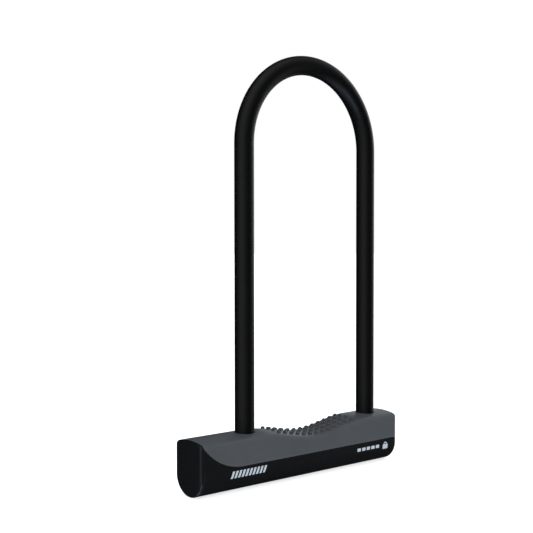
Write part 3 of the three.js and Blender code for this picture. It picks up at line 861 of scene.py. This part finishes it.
def top_softbox():
    """A large area light above the lock, which faces its middle."""
    data = bpy.data.lights.new("top_softbox", "AREA")
    data.shape = "RECTANGLE"
    data.size, data.size_y = SOFTBOX_SIZE, SOFTBOX_SIZE
    data.energy = SOFTBOX_POWER
    light = bpy.data.objects.new("top_softbox", data)
    scene.collection.objects.link(light)
    aim = Vector((0, 0, SHACKLE_TOP / 2))
    heading = Vector(SOFTBOX_DIRECTION).normalized()
    light.location = aim + heading * SOFTBOX_DISTANCE
    light.rotation_mode = "QUATERNION"
    light.rotation_quaternion = heading.to_track_quat("Z", "Y")


FILL = 0.98  # what matt surfaces see from every side

# What glossy surfaces see. An axis points at its light, and a softness holds the cosines of the angles
# from the axis where the light starts and where it is full.
KEY_LEVEL = 0.43  # a tall curtain of light on the keyed side
KEY_AXIS, KEY_SOFTNESS = (-0.944, -0.330, 0), (-0.7, 0.1)
KEY_ACROSS, KEY_SPREAD = (-0.330, 0.944, 0), (0.05, 1.0)  # it fades to either side of its middle
SHADE_LEVEL = 0.2  # the share of it that is left high up behind the lock
SHADE_AXIS, SHADE_SOFTNESS = (-0.05, 0.80, 0.60), (0.7, 0.97)
RIM_LEVEL = 0.25  # a light past the other end
RIM_AXIS, RIM_SOFTNESS = (0.996, 0.087, 0), (0.56, 0.98)
LOW_LEVEL, LOW_HEIGHTS = 0.05, (-0.62, -0.28)  # both fade to this share below the horizon
HAZE_LEVEL = 1.25  # a bright haze near the horizon behind the other end
HAZE_AXIS, HAZE_SOFTNESS = (0.96, 0.28, 0), (0.765, 0.93)
HAZE_BOTTOM, HAZE_TOP = (-0.12, -0.02), (0.35, 0.7)
OVERHEAD_LEVEL = 0.14  # a weak light high above the other end
OVERHEAD_AXIS, OVERHEAD_SOFTNESS = (0.63, -0.13, 0.76), (0.82, 0.98)
BELOW_LEVEL, BELOW_HEIGHTS = 1.08, (-0.99, -0.92)  # a bluish light from straight below
FORWARD_LEVEL = 1.8  # and one from below in front
FORWARD_AXIS, FORWARD_SOFTNESS = (-0.26, -0.57, -0.78), (0.94, 0.985)


def backdrop():
    """White where the camera sees it, even for matt surfaces, and soft lights for glossy ones."""
    world = bpy.data.worlds.new("studio")
    scene.world = world
    world.use_nodes = True
    world.cycles.sampling_method = "NONE"  # light sampling would mix what the two kinds of ray see
    nodes, links = world.node_tree.nodes, world.node_tree.links
    direction = nodes.new("ShaderNodeTexCoord").outputs["Generated"]

    def along(axis):
        """How far each direction points along an axis, from -1 to 1."""
        node = nodes.new("ShaderNodeVectorMath")
        node.operation = "DOT_PRODUCT"
        node.inputs[1].default_value = axis
        links.new(direction, node.inputs[0])
        return node.outputs["Value"]

    def ramp(value, start, end, low, high):
        node = nodes.new("ShaderNodeMapRange")
        node.interpolation_type = "SMOOTHSTEP"
        for name, number in zip(("From Min", "From Max", "To Min", "To Max"), (start, end, low, high)):
            node.inputs[name].default_value = number
        links.new(value, node.inputs["Value"])
        return node.outputs["Result"]

    def combine(operation, first, second=0.0):
        node = nodes.new("ShaderNodeMath")
        node.operation = operation
        for socket, value in zip(node.inputs, (first, second)):
            if isinstance(value, float):
                socket.default_value = value
            else:
                links.new(value, socket)
        return node.outputs["Value"]

    def background(color, strength):
        node = nodes.new("ShaderNodeBackground")
        node.inputs["Color"].default_value = (*color, 1)
        if isinstance(strength, float):
            node.inputs["Strength"].default_value = strength
        else:
            links.new(strength, node.inputs["Strength"])
        return node.outputs["Background"]

    def choose(factor, first, second):
        node = nodes.new("ShaderNodeMixShader")
        for socket, value in zip(node.inputs, (factor, first, second)):
            links.new(value, socket)
        return node.outputs["Shader"]

    height = along((0, 0, 1))
    beside = combine("ABSOLUTE", along(KEY_ACROSS))
    curtain = ramp(beside, *KEY_SPREAD, KEY_LEVEL, 0.0)
    curtain = combine("MULTIPLY", curtain, ramp(along(KEY_AXIS), *KEY_SOFTNESS, 0.0, 1.0))
    curtain = combine("MULTIPLY", curtain, ramp(along(SHADE_AXIS), *SHADE_SOFTNESS, 1.0, SHADE_LEVEL))
    rim = ramp(along(RIM_AXIS), *RIM_SOFTNESS, 0.0, RIM_LEVEL)
    sides = combine("ADD", curtain, rim)
    sides = combine("MULTIPLY", sides, ramp(height, *LOW_HEIGHTS, LOW_LEVEL, 1.0))
    haze = ramp(along(HAZE_AXIS), *HAZE_SOFTNESS, 0.0, HAZE_LEVEL)
    haze = combine("MULTIPLY", haze, ramp(height, *HAZE_BOTTOM, 0.0, 1.0))
    haze = combine("MULTIPLY", haze, ramp(height, *HAZE_TOP, 1.0, 0.0))
    overhead = ramp(along(OVERHEAD_AXIS), *OVERHEAD_SOFTNESS, 0.0, OVERHEAD_LEVEL)
    upper = background((0.97, 0.985, 1.0), combine("ADD", combine("ADD", sides, haze), overhead))
    below = ramp(height, *BELOW_HEIGHTS, BELOW_LEVEL, 0.0)
    forward = ramp(along(FORWARD_AXIS), *FORWARD_SOFTNESS, 0.0, FORWARD_LEVEL)
    lower = background((0.72, 0.83, 1.0), combine("ADD", below, forward))
    glossy = nodes.new("ShaderNodeAddShader")
    links.new(upper, glossy.inputs[0])
    links.new(lower, glossy.inputs[1])
    glossy = glossy.outputs["Shader"]
    even = background((0.96, 0.98, 1.0), FILL)
    seen = background((1, 1, 1), 1.0)
    path = nodes.new("ShaderNodeLightPath").outputs
    lighting = choose(path["Is Glossy Ray"], even, glossy)
    result = choose(path["Is Camera Ray"], lighting, seen)
    links.new(result, nodes["World Output"].inputs["Surface"])


def camera():
    """Looks from the keyed end's front corner, slightly down."""
    yaw, pitch, roll = (math.radians(angle) for angle in (39.66, 1.925, 0.055))
    data = bpy.data.cameras.new("camera")
    data.sensor_width = 36
    data.lens = 65.235
    view = bpy.data.objects.new("camera", data)
    scene.collection.objects.link(view)
    view.location = Vector((-468.28, -533.76, 178.75)) * MM
    ahead = Vector((math.sin(yaw) * math.cos(pitch), math.cos(yaw) * math.cos(pitch), -math.sin(pitch)))
    view.rotation_mode = "QUATERNION"
    view.rotation_quaternion = Quaternion(ahead, roll) @ ahead.to_track_quat("-Z", "Y")
    scene.camera = view


dress_cad_nodes()
top_cover()
grip_bumps()
lower_housing()
end_cover()
shackle_sleeve()
shackle_rod()
end_bulkhead()
key_plug()
for side in ("left", "right"):
    seal(side)
printed_marks()
floor()
top_softbox()
backdrop()
camera()
scene.view_settings.view_transform = "Standard"
